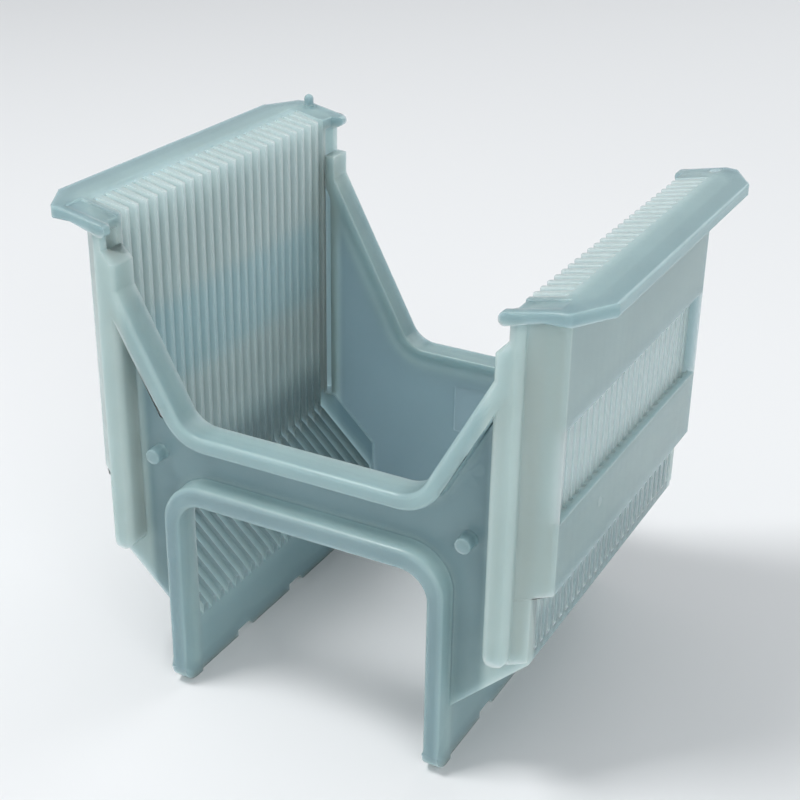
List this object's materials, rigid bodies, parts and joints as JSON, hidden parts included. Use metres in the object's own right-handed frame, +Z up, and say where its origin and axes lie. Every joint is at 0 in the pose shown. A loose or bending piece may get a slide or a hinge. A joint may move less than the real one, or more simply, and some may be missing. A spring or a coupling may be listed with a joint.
{
  "type": "wafer cassette",
  "caption": "Open one-piece cassette with toothed side walls, V-shaped end openings and leg rails, which holds round wafers on edge in a row.",
  "frame": {"origin": "centre of the footprint, level with the bottoms of the leg rails", "axes": "+X across the wafers, +Y along the row of wafers from the end with the high crossbar and the arch to the end with the low crossbar, +Z up"},
  "size_m": [0.1812, 0.1408, 0.1639],
  "materials": {
    "pfa": "natural translucent PFA, smooth and slightly waxy"
  },
  "bodies": {
    "root": {"wafer_cassette": "pfa"}
  },
  "joints": []
}
